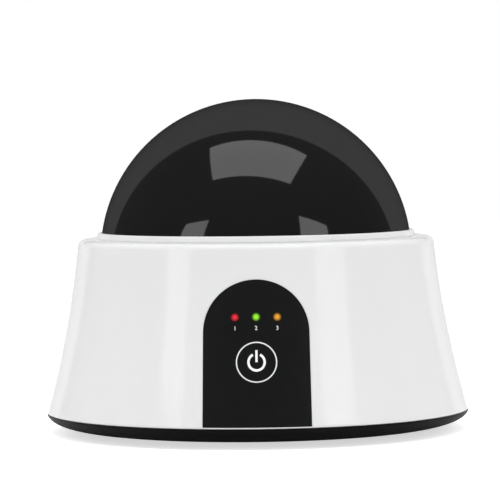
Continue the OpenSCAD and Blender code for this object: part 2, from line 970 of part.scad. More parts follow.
module finger_rest() {
    color([0.85, 0.85, 0.86])
        difference() {
            union() {
                translate([0, 0, rest_z])
                    cylinder(r = rest_r, h = rest_t);
                around([45:90:315], peg_ring_r)
                    translate([0, 0, bowl_z])
                        cylinder(d = peg_d, h = peg_h + OVER);
            }
            for (ring = [1:steam_rings])
                around([for (i = [0:6 * ring - 1]) i * 60 / ring], ring * steam_pitch)
                    translate([0, 0, rest_z - OVER])
                        cylinder(d = steam_hole_d, h = rest_t + 2 * OVER);
        }
}

// ---- Heating tray ----

module heating_tray() {
    color(ALUMINIUM)
        difference() {
            rotate_extrude()
                polygon([
                    [0, tray_z],
                    [tray_out_r, tray_z],
                    [tray_out_r, tray_top_z - tray_flange_t],
                    [tray_flange_r, tray_top_z - tray_flange_t],
                    [tray_flange_r, tray_top_z],
                    [tray_in_r + EDGE, tray_top_z],
                    [tray_in_r, tray_top_z - EDGE],
                    [tray_in_r, tray_floor_z + tray_cove],
                    [tray_in_r - tray_cove, tray_floor_z],
                    [0, tray_floor_z],
                ]);
            for (x = [-clamp_hole_x, clamp_hole_x])
                translate([x, 0, tray_z])
                    pilot(small_screw_d, clamp_bite + EDGE);
        }
}

module tray_seal() {
    color([0.75, 0.2, 0.15])
        translate([0, 0, bowl_z])
            difference() {
                cylinder(r = tray_flange_r - seal_edge, h = seal_t);
                translate([0, 0, -OVER])
                    cylinder(r = tray_out_r + seal_clear, h = seal_t + 2 * OVER);
            }
}

module tray_bracket() {
    color(STEEL)
        translate([0, 0, tray_z - bracket_t])
            difference() {
                union() {
                    cylinder(r = tray_out_r - 1, h = bracket_t);
                    around(bracket_angles, 0)
                        translate([0, -bracket_arm_r, 0])
                            cube([bracket_ring_r + bracket_boss_r, 2 * bracket_arm_r, bracket_t]);
                }
                translate([0, 0, -OVER])
                    cylinder(r = bracket_in_r, h = bracket_t + 2 * OVER);
                around(bracket_angles, bracket_ring_r)
                    clearance_hole(small_screw_d, bracket_t);
            }
}

module bracket_screws() {
    color(STEEL)
        around(bracket_angles, bracket_ring_r)
            translate([0, 0, tray_z - bracket_t])
                screw(small_screw_d, bracket_t + pilot_l - OVER);
}

module heating_element() {
    color([0.85, 0.8, 0.7])
        translate([-heater_l / 2, -heater_w / 2, heater_z])
            cube([heater_l, heater_w, heater_t]);
}

// Strap under the heating element, with an ear at each end that is screwed to the tray
module heater_clamp() {
    outer_x = clamp_in_x + clamp_t;
    color(STEEL)
        difference() {
            translate([0, -clamp_w / 2, 0]) {
                translate([-outer_x, 0, clamp_z])
                    cube([2 * outer_x, clamp_w, clamp_t]);
                for (x = [-outer_x, clamp_in_x])
                    translate([x, 0, clamp_z])
                        cube([clamp_t, clamp_w, tray_z - clamp_z]);
                for (x = [-clamp_in_x - clamp_ear, clamp_in_x])
                    translate([x, 0, tray_z - clamp_t])
                        cube([clamp_ear, clamp_w, clamp_t]);
            }
            for (x = [-clamp_hole_x, clamp_hole_x])
                translate([x, 0, tray_z - clamp_t])
                    clearance_hole(small_screw_d, clamp_t);
        }
}

module clamp_screws() {
    color(STEEL)
        for (x = [-clamp_hole_x, clamp_hole_x])
            translate([x, 0, tray_z - clamp_t])
                screw(small_screw_d, clamp_t + clamp_bite);
}

module thermostat() {
    color([0.72, 0.7, 0.66])
        translate([0, 0, clamp_z - thermostat_h]) {
            cylinder(d = 0.8 * thermostat_d, h = thermostat_h);
            translate([0, 0, thermostat_h - thermostat_flange])
                cylinder(d = thermostat_d, h = thermostat_flange);
            for (x = [-1, 1])
                translate([x * 0.22 * thermostat_d - tab_size[0] / 2, -tab_size[1] / 2, -tab_size[2]])
                    cube(tab_size + [0, 0, EDGE]);
        }
}

module thermal_fuse() {
    color(CREAM)
        translate([-fuse_l / 2, heater_w / 2 + fuse_r + seat_gap, tray_z - fuse_r])
            rotate([0, 90, 0])
                cylinder(r = fuse_r, h = fuse_l);
}

// ---- Electronics ----

module main_board() {
    color(BOARD_GREEN)
        translate([0, 0, board_z])
            difference() {
                translate([-board_l / 2, -board_w / 2, 0])
                    cube([board_l, board_w, board_t]);
                at_board_posts()
                    clearance_hole(small_screw_d, board_t);
            }
}

// Places children on the main board at [x, y]
module on_board(at) {
    translate([at[0], at[1], board_top_z])
        children();
}

module board_capacitors() {
    color([0.1, 0.15, 0.3])
        for (at = capacitor_at)
            on_board(at)
                cylinder(d = capacitor_d, h = capacitor_h);
}

module board_transistor() {
    color(SOFT_BLACK)
        on_board(transistor_at)
            cube(transistor_size);
}

module board_heatsink() {
    fin_step = (sink_size[0] - sink_t) / (sink_fins - 1);
    color(ALUMINIUM)
        on_board(sink_at) {
            cube([sink_size[0], sink_t, sink_size[2]]);
            for (i = [0:sink_fins - 1])
                translate([i * fin_step, 0, 0])
                    cube([sink_t, sink_size[1], sink_size[2]]);
        }
}

module board_sockets() {
    color(CREAM)
        for (at = socket_at)
            on_board(at)
                open_box(socket_size, plug_wall);
}

module board_buzzer() {
    color(SOFT_BLACK)
        on_board(buzzer_at)
            difference() {
                cylinder(d = buzzer_d, h = buzzer_h);
                translate([0, 0, buzzer_h / 2])
                    cylinder(d = buzzer_hole_d, h = buzzer_h);
            }
}

module main_board_screws() {
    color(STEEL)
        at_board_posts()
            translate([0, 0, board_top_z])
                mirror([0, 0, 1])
                    screw(small_screw_d, board_t + pilot_l - OVER);
}

// ---- Power inlet ----

// Barrel socket with a lip that lies in the shell's pocket
module power_inlet() {
    color(BLACK)
        translate([0, inlet_face_y, inlet_z])
            rotate([-90, 0, 0])
                difference() {
                    union() {
                        cylinder(r = inlet_lip_r, h = inlet_lip_t);
                        translate([0, 0, -inlet_l])
                            cylinder(r = inlet_r, h = inlet_l);
                    }
                    translate([0, 0, inlet_lip_t - inlet_bore_l])
                        cylinder(r = inlet_bore_r, h = FAR);
                    translate([0, 0, -FAR / 2])
                        cylinder(r = inlet_pin_r + pilot_gap, h = FAR);
                }
}

module inlet_nut() {
    color(STEEL)
        translate([0, inlet_back_y - inlet_nut_t, inlet_z])
            rotate([-90, 0, 0])
                difference() {
                    cylinder(r = inlet_r + inlet_nut_w, h = inlet_nut_t, $fn = 6);
                    translate([0, 0, -OVER])
                        cylinder(r = inlet_r + pilot_gap, h = inlet_nut_t + 2 * OVER);
                }
}

module inlet_pin() {
    color([0.75, 0.68, 0.4])
        translate([0, inlet_face_y - inlet_l - inlet_tail, inlet_z])
            rotate([-90, 0, 0])
                cylinder(r = inlet_pin_r, h = inlet_l + inlet_tail);
}

dome_cover();
dome_ring();
body_shell();
base_pan();
rubber_feet();
case_screws();
control_panel();
light_ring();
power_button();
switch_plunger();
lamp(-1, [0.95, 0.12, 0.15]);  // heat_lamp
lamp(0, [0.5, 0.95, 0.15]);  // steam_lamp
lamp(1, [0.95, 0.6, 0.15]);  // warm_lamp
button_board();
tact_switch();
lamp_chips();
board_connector();
button_board_screws();
chamber_bowl();
bowl_screws();
finger_guard();
finger_rest();
heating_tray();
tray_seal();
tray_bracket();
bracket_screws();
heating_element();
heater_clamp();
clamp_screws();
thermostat();
thermal_fuse();
main_board();
board_capacitors();
board_transistor();
board_heatsink();
board_sockets();
board_buzzer();
main_board_screws();
power_inlet();
inlet_nut();
inlet_pin();
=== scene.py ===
"""Looks of the table-top gel polish steamer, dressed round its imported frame.

Metres, +Z up. The control panel faces -Y and the finger holes face +Y.
"""

import json
import math

import bmesh
import bpy
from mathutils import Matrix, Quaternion, Vector
from mathutils.bvhtree import BVHTree


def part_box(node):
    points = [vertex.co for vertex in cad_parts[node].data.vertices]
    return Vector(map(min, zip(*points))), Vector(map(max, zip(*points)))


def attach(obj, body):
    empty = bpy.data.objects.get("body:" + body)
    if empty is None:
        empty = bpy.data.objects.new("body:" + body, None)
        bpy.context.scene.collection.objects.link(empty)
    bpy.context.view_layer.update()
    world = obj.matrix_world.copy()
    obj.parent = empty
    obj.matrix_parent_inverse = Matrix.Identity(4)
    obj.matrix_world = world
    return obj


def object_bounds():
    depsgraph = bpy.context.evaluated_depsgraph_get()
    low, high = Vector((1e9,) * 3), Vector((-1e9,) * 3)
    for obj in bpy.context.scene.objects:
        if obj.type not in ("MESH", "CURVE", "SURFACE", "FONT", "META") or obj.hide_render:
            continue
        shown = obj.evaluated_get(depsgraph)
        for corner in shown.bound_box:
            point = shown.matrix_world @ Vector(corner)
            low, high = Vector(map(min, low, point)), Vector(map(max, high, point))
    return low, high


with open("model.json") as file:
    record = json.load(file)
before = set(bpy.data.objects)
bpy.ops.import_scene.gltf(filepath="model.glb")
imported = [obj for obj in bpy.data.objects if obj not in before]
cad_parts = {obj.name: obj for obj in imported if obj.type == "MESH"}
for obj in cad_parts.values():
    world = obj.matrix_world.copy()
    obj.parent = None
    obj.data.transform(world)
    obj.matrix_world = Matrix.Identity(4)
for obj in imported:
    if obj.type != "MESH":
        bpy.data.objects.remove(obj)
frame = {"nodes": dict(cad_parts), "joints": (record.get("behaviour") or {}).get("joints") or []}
cad_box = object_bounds()
nodes = frame["nodes"]

MM = 0.001
# A face of the panel curves by less than this
FACE_DEPTH = 0.8 * MM

# Colours, linear
WHITE = (1.0, 1.0, 1.0)
BLACK = (0.0, 0.0, 0.0)
SHELL_WHITE = (0.80, 0.80, 0.805)
DOME_BLACK = (0.009, 0.009, 0.0095)
PANEL_BLACK = (0.0095, 0.0098, 0.0102)
PAN_BLACK = (0.0028, 0.0028, 0.003)
PRINT_WHITE = (0.86, 0.86, 0.86)
FLOOR_WHITE = (0.9, 0.9, 0.9)

# How strongly the light ring and the prints glow, as a share of their white
RING_GLOW = 0.2
PRINT_GLOW = 0.15
# How dark an unlit lens is, as a share of its light
LENS_TINT = 0.12
# How far a lamp's light reaches from its middle, on the lens and as painted light on the panel
# round it
LAMP_REACH = 2.3 * MM
# Half the width of the light ring's glowing line, and how softly it ends
RING_LINE_HALF = 0.26 * MM
RING_LINE_SOFT = 0.12 * MM
# Painted light on the foot of the lid's ring, which lightens the shade of the gap under it, and how
# far up it reaches
GAP_PAINTED_LIGHT = 0.34
GAP_PAINTED_LIGHT_UP = 0.7 * MM


# ---- Places that come from the frame ----

press_axis = Vector(next(j for j in frame["joints"] if j["name"] == "button_press")["axis"])
# Light of each indicator lamp
LAMPS = {
    "heat_lamp": (0.89, 0.03, 0.05),
    "steam_lamp": (0.34, 0.97, 0.035),
    "warm_lamp": (0.9, 0.39, 0.04),
}


def surface_tree(node):
    """Ray-casting tree of a CAD node at rest."""
    mesh = nodes[node].data
    return BVHTree.FromPolygons([v.co for v in mesh.vertices], [p.vertices for p in mesh.polygons])


def face_points(node):
    """Points of the face that a node of the panel shows."""
    points = [v.co for v in nodes[node].data.vertices]
    face = min(p.dot(press_axis) for p in points)
    return [p for p in points if p.dot(press_axis) < face + FACE_DEPTH]


def face_middle(node):
    """Middle of that face."""
    return Vector([(min(values) + max(values)) / 2 for values in zip(*face_points(node))])


def face_radii(node):
    """Smallest and largest radius of that face."""
    middle = face_middle(node)
    radii = [(p - middle).cross(press_axis).length for p in face_points(node)]
    return min(radii), max(radii)


# ---- Material helpers ----

def link(tree, source, target):
    """Joins an output to an input."""
    tree.links.new(source, target)


def principled(name, color, rough, metallic=0.0, specular=0.5):
    """New material with its Principled shader set, and the shader."""
    material = bpy.data.materials.new(name)
    material.use_nodes = True
    shader = material.node_tree.nodes["Principled BSDF"]
    shader.inputs["Base Color"].default_value = (*color, 1.0)
    shader.inputs["Roughness"].default_value = rough
    shader.inputs["Metallic"].default_value = metallic
    shader.inputs["Specular IOR Level"].default_value = specular
    return material, shader


def step(tree, kind, operation, first, second=None):
    """Outputs of a maths node on one or two values, each a socket or a constant."""
    node = tree.nodes.new(kind)
    node.operation = operation
    for socket, value in zip(node.inputs, (first, second)):
        if isinstance(value, bpy.types.NodeSocket):
            link(tree, value, socket)
        elif value is not None:
            socket.default_value = value
    return node.outputs


def number_step(tree, operation, first, second=None):
    """Result of maths on numbers."""
    return step(tree, "ShaderNodeMath", operation, first, second)["Value"]


def vector_step(tree, operation, first, second=None):
    """Outputs of maths on vectors."""
    return step(tree, "ShaderNodeVectorMath", operation, first, second)


def along(tree, vector, axis):
    """One coordinate of a vector."""
    split = tree.nodes.new("ShaderNodeSeparateXYZ")
    link(tree, vector, split.inputs["Vector"])
    return split.outputs[axis]


def off_axis(tree, point):
    """Distance from the line that runs through a point along the button's axis."""
    place = tree.nodes.new("ShaderNodeTexCoord")
    arm = vector_step(tree, "SUBTRACT", place.outputs["Object"], point)["Vector"]
    side = vector_step(tree, "CROSS_PRODUCT", arm, press_axis)["Vector"]
    return vector_step(tree, "LENGTH", side)["Value"]


def noise(tree, size, detail=3.0, stretch=(1.0, 1.0, 1.0)):
    """Noise in the piece's own coordinates, with features of about the given size in metres."""
    place = tree.nodes.new("ShaderNodeTexCoord")
    mapping = tree.nodes.new("ShaderNodeMapping")
    mapping.inputs["Scale"].default_value = stretch
    texture = tree.nodes.new("ShaderNodeTexNoise")
    texture.inputs["Scale"].default_value = 1.0 / size
    texture.inputs["Detail"].default_value = detail
    link(tree, place.outputs["Object"], mapping.inputs["Vector"])
    link(tree, mapping.outputs["Vector"], texture.inputs["Vector"])
    return texture.outputs["Fac"]


def mapped(tree, value, low, high, start=0.3, end=0.7, shape="LINEAR"):
    """Value taken from the range start..end to low..high."""
    node = tree.nodes.new("ShaderNodeMapRange")
    node.interpolation_type = shape
    node.inputs["From Min"].default_value = start
    node.inputs["From Max"].default_value = end
    node.inputs["To Min"].default_value = low
    node.inputs["To Max"].default_value = high
    link(tree, value, node.inputs["Value"])
    return node.outputs["Result"]


def mixed(tree, factor, first, second):
    """Colour between two, by a factor socket. Each colour is a tuple or a socket."""
    node = tree.nodes.new("ShaderNodeMix")
    node.data_type = "RGBA"
    link(tree, factor, node.inputs["Factor"])
    colors = [s for s in node.inputs if s.type == "RGBA"]
    for socket, color in zip(colors, (first, second)):
        if isinstance(color, tuple):
            socket.default_value = (*color, 1.0)
        else:
            link(tree, color, socket)
    return [s for s in node.outputs if s.type == "RGBA"][0]


def bump(tree, shader, height, depth):
    """Adds relief of the given depth in metres to a shader."""
    node = tree.nodes.new("ShaderNodeBump")
    node.inputs["Strength"].default_value = 1.0
    node.inputs["Distance"].default_value = depth
    link(tree, height, node.inputs["Height"])
    link(tree, node.outputs["Normal"], shader.inputs["Normal"])


def shade(color, factor):
    """Colour made darker or paler."""
    return tuple(min(1.0, c * factor) for c in color)


def surface(name, color, rough, vary=0.04, rough_vary=0.05, patch=12 * MM, grain=0.4 * MM,
            relief=0.004 * MM, metallic=0.0, specular=0.5, stretch=(1.0, 1.0, 1.0)):
    """Material whose colour drifts in patches and whose gloss and relief follow a fine grain."""
    material, shader = principled(name, color, rough, metallic, specular)
    tree = material.node_tree
    drift = mapped(tree, noise(tree, patch), 0.0, 1.0)
    link(tree, mixed(tree, drift, shade(color, 1 - vary), shade(color, 1 + vary)),
         shader.inputs["Base Color"])
    fine = noise(tree, grain, 2.0, stretch)
    link(tree, mapped(tree, fine, rough - rough_vary, rough + rough_vary),
         shader.inputs["Roughness"])
    bump(tree, shader, fine, relief)
    return material


# ---- Materials ----

def board_material():
    """Green circuit board: solder mask with paler copper tracks and tinned pads."""
    mask_green, track_green, pad_tin = (0.018, 0.1, 0.045), (0.035, 0.19, 0.08), (0.6, 0.58, 0.5)
    mask_rough, tin_rough = 0.35, 0.22
    track_scale, track_width, track_height = 130.0, 0.09, 0.03 * MM
    pad_scale, pad_scatter, pad_inner, pad_outer = 260.0, 0.55, 0.12, 0.2
    material, shader = principled("board_green", mask_green, mask_rough)
    tree = material.node_tree
    place = tree.nodes.new("ShaderNodeTexCoord")
    tracks = tree.nodes.new("ShaderNodeTexBrick")
    tracks.inputs["Scale"].default_value = track_scale
    tracks.inputs["Mortar Size"].default_value = track_width
    pads = tree.nodes.new("ShaderNodeTexVoronoi")
    pads.inputs["Scale"].default_value = pad_scale
    pads.inputs["Randomness"].default_value = pad_scatter
    link(tree, place.outputs["Object"], tracks.inputs["Vector"])
    link(tree, place.outputs["Object"], pads.inputs["Vector"])
    mask = mixed(tree, tracks.outputs["Fac"], mask_green, track_green)
    tin = mapped(tree, pads.outputs["Distance"], 1.0, 0.0, pad_inner, pad_outer)
    link(tree, mixed(tree, tin, mask, pad_tin), shader.inputs["Base Color"])
    link(tree, mapped(tree, tin, mask_rough, tin_rough, 0.0, 1.0), shader.inputs["Roughness"])
    bump(tree, shader, tracks.outputs["Fac"], track_height)
    return material


def lid_material():
    """White plastic of the lid's ring, with light painted along its foot to lighten the shade of
    the gap under it.
    """
    material = surface("lid_white", SHELL_WHITE, 0.14, vary=0.006, rough_vary=0.02, patch=40 * MM,
                       grain=0.5 * MM, relief=0.0008 * MM, specular=0.3)
    tree = material.node_tree
    shader = tree.nodes["Principled BSDF"]
    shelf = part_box("body_shell")[1].z
    place = tree.nodes.new("ShaderNodeTexCoord")
    height = along(tree, place.outputs["Object"], "Z")
    # Painted light: the ring's foot glows, so that the shaded gap between ring and shell looks less
    # dark
    shader.inputs["Emission Color"].default_value = (*WHITE, 1.0)
    link(tree, mapped(tree, height, GAP_PAINTED_LIGHT, 0.0, shelf, shelf + GAP_PAINTED_LIGHT_UP),
         shader.inputs["Emission Strength"])
    return material


def lamp_light(tree, lamp):
    """Light of a lamp, which fades from its middle; past the rim of its hole it is painted on the
    panel as a glow.
    """
    fade = mapped(tree, off_axis(tree, face_middle(lamp)), 1.0, 0.0, 0.0, LAMP_REACH, "SMOOTHSTEP")
    return mixed(tree, fade, BLACK, LAMPS[lamp])


def lamp_material(lamp):
    """Tinted lens, lit from behind."""
    material = surface(lamp + "_lens", shade(LAMPS[lamp], LENS_TINT), 0.25, vary=0.05, patch=1 * MM)
    shader = material.node_tree.nodes["Principled BSDF"]
    link(material.node_tree, lamp_light(material.node_tree, lamp), shader.inputs["Emission Color"])
    shader.inputs["Emission Strength"].default_value = 1.0
    return material


def panel_material():
    """Polished black overlay, with the lamps' light painted on it as a glow round each lamp's hole.
    """
    material = surface("panel_gloss", PANEL_BLACK, 0.2, vary=0.06, rough_vary=0.02, patch=20 * MM,
                       grain=0.8 * MM, relief=0.0006 * MM, specular=0.3)
    tree = material.node_tree
    shader = tree.nodes["Principled BSDF"]
    # Painted light: the panel glows round each lamp, as if lit by it
    painted_lamp_glow = BLACK
    for lamp in LAMPS:
        painted_lamp_glow = vector_step(tree, "ADD", lamp_light(tree, lamp), painted_lamp_glow)["Vector"]
    link(tree, painted_lamp_glow, shader.inputs["Emission Color"])
    shader.inputs["Emission Strength"].default_value = 1.0
    return material


def ring_material():
    """Light guide that glows along its middle line and is masked at both edges."""
    material, shader = principled("ring_light", PRINT_WHITE, 0.3)
    tree = material.node_tree
    radius = off_axis(tree, face_middle("light_ring"))
    offset = number_step(tree, "SUBTRACT", radius, sum(face_radii("light_ring")) / 2)
    line = mapped(tree, number_step(tree, "ABSOLUTE", offset), 1.0, 0.0,
                  RING_LINE_HALF - RING_LINE_SOFT, RING_LINE_HALF + RING_LINE_SOFT)
    link(tree, mixed(tree, line, PANEL_BLACK, PRINT_WHITE), shader.inputs["Base Color"])
    link(tree, mixed(tree, line, BLACK, shade(PRINT_WHITE, RING_GLOW)),
         shader.inputs["Emission Color"])
    shader.inputs["Emission Strength"].default_value = 1.0
    return material


def lit(material, color, strength):
    """Makes a material glow."""
    shader = material.node_tree.nodes["Principled BSDF"]
    shader.inputs["Emission Color"].default_value = (*color, 1.0)
    shader.inputs["Emission Strength"].default_value = strength
    return material


def spun_metal(name, color, rough):
    """Metal turned on a lathe: fine rings round the Z axis."""
    ring_scale, wobble, ring_detail = 320.0, 1.2, 3.0
    dark, pale, rough_vary, depth = 0.93, 1.05, 0.06, 0.01 * MM
    material, shader = principled(name, color, rough, 1.0)
    tree = material.node_tree
    place = tree.nodes.new("ShaderNodeTexCoord")
    rings = tree.nodes.new("ShaderNodeTexWave")
    rings.wave_type = "RINGS"
    rings.rings_direction = "Z"
    rings.inputs["Scale"].default_value = ring_scale
    rings.inputs["Distortion"].default_value = wobble
    rings.inputs["Detail"].default_value = ring_detail
    link(tree, place.outputs["Object"], rings.inputs["Vector"])
    link(tree, mixed(tree, rings.outputs["Fac"], shade(color, dark), shade(color, pale)),
         shader.inputs["Base Color"])
    link(tree, mapped(tree, rings.outputs["Fac"], rough - rough_vary, rough + rough_vary, 0.0, 1.0),
         shader.inputs["Roughness"])
    bump(tree, shader, rings.outputs["Fac"], depth)
    return material


def capacitor_material():
    """Dark blue sleeve with a bare aluminium top."""
    sleeve, metal = (0.02, 0.035, 0.12), (0.55, 0.55, 0.57)
    top_from, top_full = 0.8, 0.9
    material = surface("capacitor_sleeve", sleeve, 0.3)
    tree = material.node_tree
    shader = tree.nodes["Principled BSDF"]
    facing = tree.nodes.new("ShaderNodeNewGeometry")
    top = mapped(tree, along(tree, facing.outputs["Normal"], "Z"), 0.0, 1.0, top_from, top_full)
    side = shader.inputs["Base Color"].links[0].from_socket
    link(tree, mixed(tree, top, side, metal), shader.inputs["Base Color"])
    return material


shell_white = surface("shell_white", SHELL_WHITE, 0.1, vary=0.006, rough_vary=0.02, patch=40 * MM,
                      grain=0.5 * MM, relief=0.0008 * MM, specular=0.3)
lid_white = lid_material()
dome_black = surface("dome_smoked", DOME_BLACK, 0.05, vary=0.05, rough_vary=0.012, patch=30 * MM,
                     grain=1.2 * MM, relief=0.0003 * MM)
pan_black = surface("pan_black", PAN_BLACK, 0.42, vary=0.08, rough_vary=0.06, patch=9 * MM,
                    grain=0.25 * MM, relief=0.006 * MM, specular=0.08)
panel_black = panel_material()
button_black = surface("button_gloss", PANEL_BLACK, 0.22, vary=0.06, rough_vary=0.02, patch=8 * MM,
                       grain=0.6 * MM, relief=0.0008 * MM, specular=0.3)
ring_white = ring_material()
print_white = lit(surface("print_white", PRINT_WHITE, 0.45, vary=0.02, patch=2 * MM,
                          grain=0.1 * MM), PRINT_WHITE, PRINT_GLOW)
matt_black = surface("matt_black", (0.02, 0.02, 0.02), 0.55, vary=0.1, grain=0.2 * MM,
                     relief=0.01 * MM)
rubber_black = surface("rubber_black", (0.022, 0.022, 0.022), 0.72, vary=0.12, rough_vary=0.08,
                       patch=5 * MM, grain=0.3 * MM, relief=0.02 * MM, specular=0.3)
guard_black = surface("guard_black", (0.028, 0.028, 0.028), 0.6, vary=0.1, rough_vary=0.08,
                      patch=7 * MM, grain=0.35 * MM, relief=0.015 * MM, specular=0.35)
bowl_grey = surface("bowl_grey", (0.58, 0.58, 0.6), 0.4, vary=0.03, patch=25 * MM,
                    relief=0.006 * MM)
rest_grey = surface("rest_grey", (0.66, 0.66, 0.68), 0.38, vary=0.03, patch=15 * MM,
                    relief=0.006 * MM)
cream = surface("cream_plastic", (0.8, 0.78, 0.68), 0.45, vary=0.04, patch=4 * MM)
film = surface("heater_film", (0.62, 0.42, 0.16), 0.3, vary=0.12, patch=5 * MM, grain=0.8 * MM,
               relief=0.02 * MM)
silicone = surface("seal_red", (0.5, 0.035, 0.02), 0.55, vary=0.08, patch=8 * MM, relief=0.01 * MM)
steel = surface("zinc_steel", (0.52, 0.52, 0.54), 0.32, vary=0.06, rough_vary=0.08, patch=3 * MM,
                grain=0.25 * MM, relief=0.006 * MM, metallic=1.0)
brass = surface("brass_pin", (0.72, 0.55, 0.25), 0.28, vary=0.06, patch=2 * MM, metallic=1.0)
sink_metal = surface("sink_aluminium", (0.62, 0.62, 0.64), 0.38, vary=0.05, patch=6 * MM,
                     grain=0.3 * MM, relief=0.01 * MM, metallic=1.0, stretch=(1.0, 1.0, 0.08))
tray_metal = spun_metal("tray_aluminium", (0.68, 0.68, 0.7), 0.3)
board_green = board_material()
sleeve_blue = capacitor_material()

WEARS = {
    shell_white: ("body_shell",),
    lid_white: ("dome_ring",),
    dome_black: ("dome_cover",),
    pan_black: ("base_pan",),
    panel_black: ("control_panel",),
    button_black: ("power_button",),
    ring_white: ("light_ring",),
    matt_black: ("switch_plunger", "tact_switch", "board_transistor", "board_buzzer",
                 "power_inlet"),
    rubber_black: ("rubber_feet",),
    guard_black: ("finger_guard",),
    bowl_grey: ("chamber_bowl",),
    rest_grey: ("finger_rest",),
    cream: ("lamp_chips", "board_connector", "thermal_fuse", "board_sockets"),
    film: ("heating_element",),
    silicone: ("tray_seal",),
    steel: ("case_screws", "button_board_screws", "bowl_screws", "tray_bracket", "bracket_screws",
            "heater_clamp", "clamp_screws", "thermostat", "main_board_screws", "inlet_nut"),
    brass: ("inlet_pin",),
    sink_metal: ("board_heatsink",),
    tray_metal: ("heating_tray",),
    board_green: ("button_board", "main_board"),
    sleeve_blue: ("board_capacitors",),
    **{lamp_material(lamp): (lamp,) for lamp in LAMPS},
}
for material, names in WEARS.items():
    for name in names:
        nodes[name].data.materials.clear()
        nodes[name].data.materials.append(material)


# ---- Object helpers ----

def add_object(name, data):
    """New object in the scene."""
    item = bpy.data.objects.new(name, data)
    bpy.context.scene.collection.objects.link(item)
    return item


def mesh_from(name, bm):
    """Mesh of a drawn shape, which is used up."""
    mesh = bpy.data.meshes.new(name)
    bm.to_mesh(mesh)
    bm.free()
    return mesh


# ---- Printed marks ----

PRINT_LIFT = 0.01 * MM
PRINT_THICKNESS = 0.05 * MM
# Longest edge of a print, so that it follows the face under it
PRINT_STEP = 0.7 * MM
# Place along Y, in front of the machine, that marks are cast from
CAST_FROM = -1.0
# Height of a digit as a share of the font's size
DIGIT_SHARE = 0.7
# Points of an outline closer than this are one
WELD = 0.001 * MM


def print_on(name, flat, node, body):
    """Lays a flat mesh, drawn in X and Z, on the front of a CAD node as a thin printed layer."""
    bmesh.ops.triangulate(flat, faces=flat.faces)
    while True:
        long_edges = [e for e in flat.edges if e.calc_length() > PRINT_STEP]
        if not long_edges:
            break
        bmesh.ops.subdivide_edges(flat, edges=long_edges, cuts=1)
        bmesh.ops.triangulate(flat, faces=[f for f in flat.faces if len(f.verts) > 3])
    tree = surface_tree(node)
    for v in flat.verts:
        hit = tree.ray_cast(Vector((v.co.x, CAST_FROM, v.co.z)), Vector((0, 1, 0)))[0]
        v.co = hit - press_axis * (PRINT_LIFT + PRINT_THICKNESS)
    bmesh.ops.recalc_face_normals(flat, faces=flat.faces)
    if sum(f.normal.y * f.calc_area() for f in flat.faces) > 0:
        bmesh.ops.reverse_faces(flat, faces=flat.faces)
    bmesh.ops.solidify(flat, geom=flat.faces[:], thickness=PRINT_THICKNESS)
    piece = add_object(name, mesh_from(name, flat))
    piece.data.materials.append(print_white)
    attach(piece, body)


def add_strip(bm, inner, outer):
    """Faces between two rows of points in X and Z."""
    rows = [[bm.verts.new((x, 0.0, z)) for x, z in row] for row in (inner, outer)]
    for i in range(len(inner) - 1):
        bm.faces.new((rows[0][i], rows[0][i + 1], rows[1][i + 1], rows[1][i]))


def power_symbol():
    """Open ring with a bar in its gap, on the power button."""
    outer_r, stroke, gap = 4.39 * MM, 1.14 * MM, math.radians(26)
    bar_w, bar_top, bar_foot = 1.08 * MM, 5.6 * MM, 0.0
    arc_steps = 64
    middle = face_middle("light_ring").z
    turn = [gap + (2 * math.pi - 2 * gap) * i / arc_steps for i in range(arc_steps + 1)]
    bm = bmesh.new()
    add_strip(bm, *[[(r * math.sin(a), middle + r * math.cos(a)) for a in turn]
                    for r in (outer_r - stroke, outer_r)])
    half = bar_w / 2
    add_strip(bm, [(-half, middle + bar_foot), (half, middle + bar_foot)],
              [(-half, middle + bar_top), (half, middle + bar_top)])
    print_on("power_symbol", bm, "power_button", "button")


def lamp_number(text, lamp):
    """Plain number under a lamp."""
    height, drop, curve_steps = 1.9 * MM, 5.3 * MM, 4
    curve = bpy.data.curves.new("number", "FONT")
    curve.body = text
    curve.size = height / DIGIT_SHARE
    curve.align_x = "CENTER"
    curve.align_y = "CENTER"
    curve.resolution_u = curve_steps
    writing = add_object("number", curve)
    outline = writing.evaluated_get(bpy.context.evaluated_depsgraph_get()).to_mesh()
    bm = bmesh.new()
    bm.from_mesh(outline)
    bmesh.ops.remove_doubles(bm, verts=bm.verts, dist=WELD)
    middle = face_middle(lamp)
    for v in bm.verts:
        v.co = Vector((v.co.x + middle.x, 0.0, v.co.y + middle.z - drop))
    bpy.data.objects.remove(writing)
    print_on("number_" + text, bm, "control_panel", "housing")


power_symbol()
for number, lamp in zip("123", LAMPS):
    lamp_number(number, lamp)


# ---- Camera ----

CAMERA_AT = Vector((0.0060, -1.6170, 0.1570))
CAMERA_AIM = Vector((-0.00296, 0.0003, 0.08984))
CAMERA_ROLL = math.radians(-0.7211)
CAMERA_LENS = 232.96
SENSOR = 36.0

camera = add_object("camera", bpy.data.cameras.new("camera"))
camera.data.sensor_fit = "HORIZONTAL"
camera.data.sensor_width = SENSOR
camera.data.lens = CAMERA_LENS
camera.location = CAMERA_AT
camera.rotation_mode = "QUATERNION"
facing = (CAMERA_AIM - CAMERA_AT).to_track_quat("-Z", "Y")
camera.rotation_quaternion = facing @ Quaternion((0.0, 0.0, 1.0), CAMERA_ROLL)
bpy.context.scene.camera = camera


# ---- Studio ----

RADIANCE = 2.3
CARD_RADIANCE = 0.66
# Radiance at the rear edge of the overhead pane, as a share of that at its front edge
OVERHEAD_REAR = 0.86

